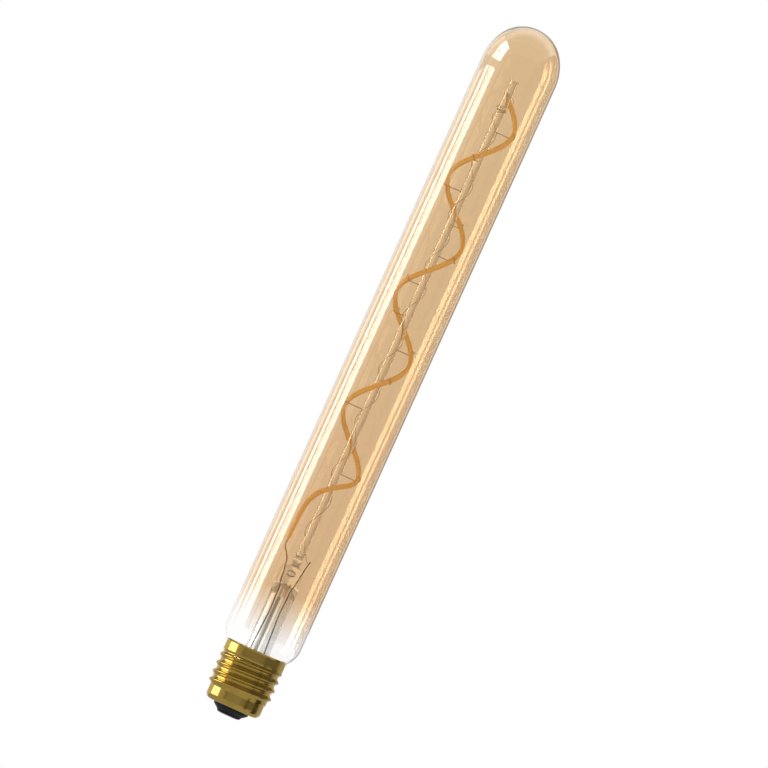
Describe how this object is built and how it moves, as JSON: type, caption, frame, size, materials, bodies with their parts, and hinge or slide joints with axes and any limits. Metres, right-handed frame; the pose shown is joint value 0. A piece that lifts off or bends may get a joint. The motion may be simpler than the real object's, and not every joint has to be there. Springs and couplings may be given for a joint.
{
  "type": "tubular light bulb",
  "caption": "Long tubular filament-style lamp: amber glass tube with a rounded end, a spiral light strip held on a glass rod by wire hooks, and a brass screw cap.",
  "frame": {"origin": "on the lamp's axis at the face of the centre contact", "axes": "+Z along the axis from the cap to the dome; +X to the right and -Y towards the viewer of the picture"},
  "size_m": [0.032, 0.032, 0.3],
  "materials": {
    "amber_glass": "clear amber",
    "clear_glass": "clear",
    "led_phosphor": "matte orange",
    "wire_metal": "drawn wire",
    "brass": "bright rolled",
    "black_insulator": "black",
    "contact_metal": "plain",
    "circuit_board": "green",
    "moulded_case": "black",
    "capacitor_sleeve": "dark",
    "resistor_body": "tan"
  },
  "bodies": {
    "root": {"glass_envelope": "amber_glass", "glass_stem": "clear_glass", "led_filament": "led_phosphor", "filament_upper_terminal": "wire_metal", "filament_lower_terminal": "wire_metal", "left_lead_wire": "wire_metal", "right_lead_wire": "wire_metal", "return_wire": "wire_metal", "contact_wire": "wire_metal", "shell_wire": "wire_metal", "screw_shell": "brass", "insulator": "black_insulator", "centre_contact": "contact_metal", "driver_board": "circuit_board", "bridge_rectifier": "moulded_case", "driver_chip": "moulded_case", "smoothing_capacitor": "capacitor_sleeve", "fuse_resistor": "resistor_body", "support_wire_01": "wire_metal", "support_wire_02": "wire_metal", "support_wire_03": "wire_metal", "support_wire_04": "wire_metal", "support_wire_05": "wire_metal", "support_wire_06": "wire_metal", "support_wire_07": "wire_metal", "support_wire_08": "wire_metal", "support_wire_09": "wire_metal", "support_wire_10": "wire_metal", "support_wire_11": "wire_metal", "support_wire_12": "wire_metal"}
  },
  "joints": []
}
